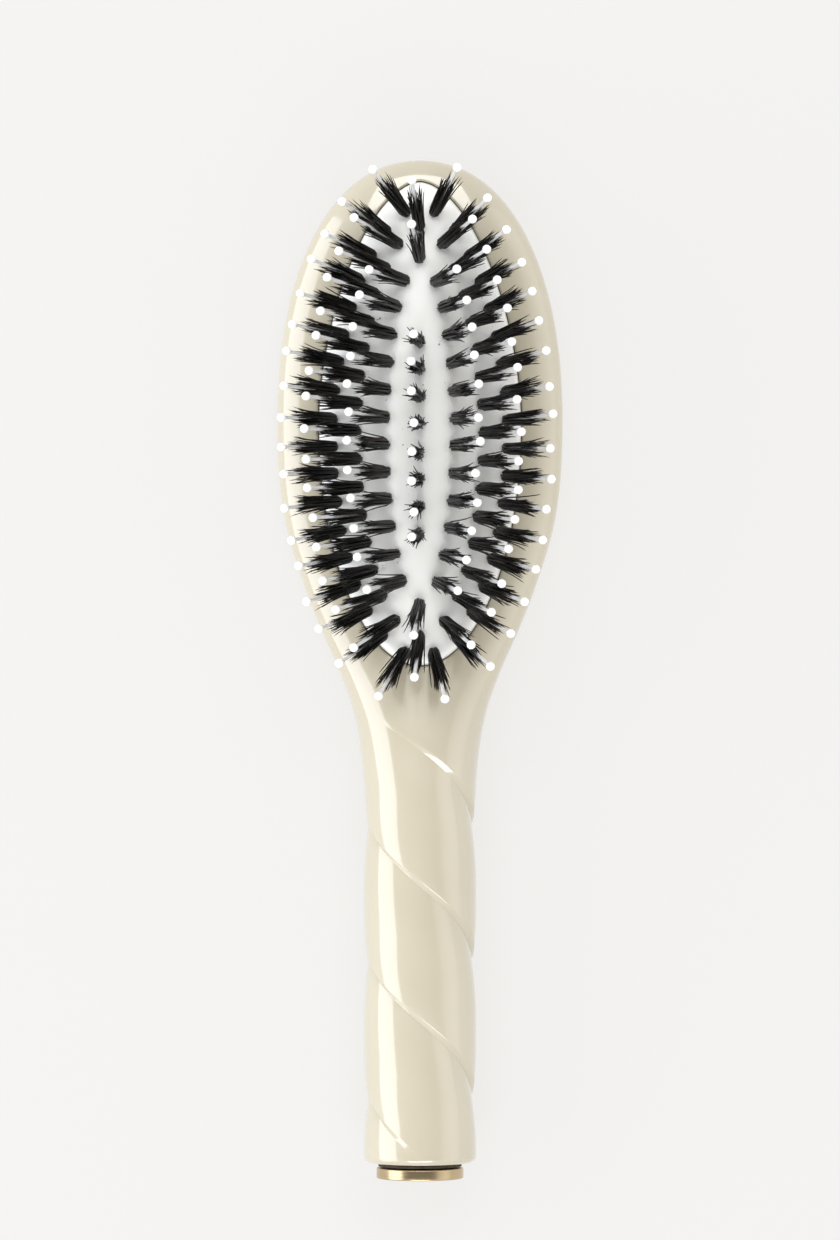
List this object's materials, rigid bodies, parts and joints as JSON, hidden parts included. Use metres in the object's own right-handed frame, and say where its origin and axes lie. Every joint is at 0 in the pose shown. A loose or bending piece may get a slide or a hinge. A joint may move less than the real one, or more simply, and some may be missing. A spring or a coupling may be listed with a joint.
{
  "type": "pneumatic cushion hairbrush",
  "caption": "Oval hairbrush with a domed air cushion, splayed bristle tufts with ball-tipped pins, a rope-twist handle and a metal end cap.",
  "frame": {"origin": "middle of the bounding box in X and Y, on the surface that the brush's back lies on", "axes": "+X across the brush, +Y along it from the end cap to the head's tip, +Z out of the bristle side"},
  "size_m": [0.0632, 0.225, 0.0438],
  "materials": {
    "acetate": "polished cream cellulose acetate",
    "pad_rubber": "matte white rubber",
    "boar_bristle": "near-black natural bristle",
    "nylon": "translucent white nylon",
    "gold_plate": "polished gold plate",
    "fibre_washer": "dark fibre",
    "brass": "turned brass"
  },
  "bodies": {
    "root": {"head_and_handle": "acetate", "cushion_pad": "pad_rubber", "end_cap": "gold_plate", "cap_washer": "fibre_washer", "cap_stud": "brass", "handle_insert": "brass"},
    "crown_rows": {"bristle_tufts_centre": "boar_bristle", "bristle_tufts_inner_left": "boar_bristle", "bristle_tufts_inner_right": "boar_bristle", "nylon_pins_centre": "nylon", "nylon_pins_inner_left": "nylon", "nylon_pins_inner_right": "nylon"},
    "shoulder_rows": {"bristle_tufts_inner_tip": "boar_bristle", "bristle_tufts_inner_neck": "boar_bristle", "bristle_tufts_middle_left": "boar_bristle", "bristle_tufts_middle_right": "boar_bristle", "nylon_pins_inner_tip": "nylon", "nylon_pins_inner_neck": "nylon", "nylon_pins_middle_left": "nylon", "nylon_pins_middle_right": "nylon"},
    "flank_rows": {"bristle_tufts_middle_tip": "boar_bristle", "bristle_tufts_middle_neck": "boar_bristle", "nylon_pins_middle_tip": "nylon", "nylon_pins_middle_neck": "nylon"},
    "edge_rows": {"bristle_tufts_outer_tip": "boar_bristle", "bristle_tufts_outer_right": "boar_bristle", "bristle_tufts_outer_neck": "boar_bristle", "bristle_tufts_outer_left": "boar_bristle", "nylon_pins_outer_tip": "nylon", "nylon_pins_outer_right": "nylon", "nylon_pins_outer_neck": "nylon", "nylon_pins_outer_left": "nylon"}
  },
  "joints": [
    {"name": "cushion_press", "type": "slide", "parent": "root", "child": "crown_rows", "axis": [0, 0, -1], "range_m": [0, 0.003], "stiffness_N_per_m": 600, "springref_m": -0.001, "deforming": ["cushion_pad"]},
    {"name": "shoulder_follow", "type": "slide", "parent": "root", "child": "shoulder_rows", "axis": [0, 0, -1], "range_m": [0, 0.00176]},
    {"name": "flank_follow", "type": "slide", "parent": "root", "child": "flank_rows", "axis": [0, 0, -1], "range_m": [0, 0.00092]},
    {"name": "edge_follow", "type": "slide", "parent": "root", "child": "edge_rows", "axis": [0, 0, -1], "range_m": [0, 0.00029]}
  ],
  "couplings": [
    {"joint": "shoulder_follow", "follows": "cushion_press", "ratio": 0.58},
    {"joint": "flank_follow", "follows": "cushion_press", "ratio": 0.3},
    {"joint": "edge_follow", "follows": "cushion_press", "ratio": 0.09}
  ]
}
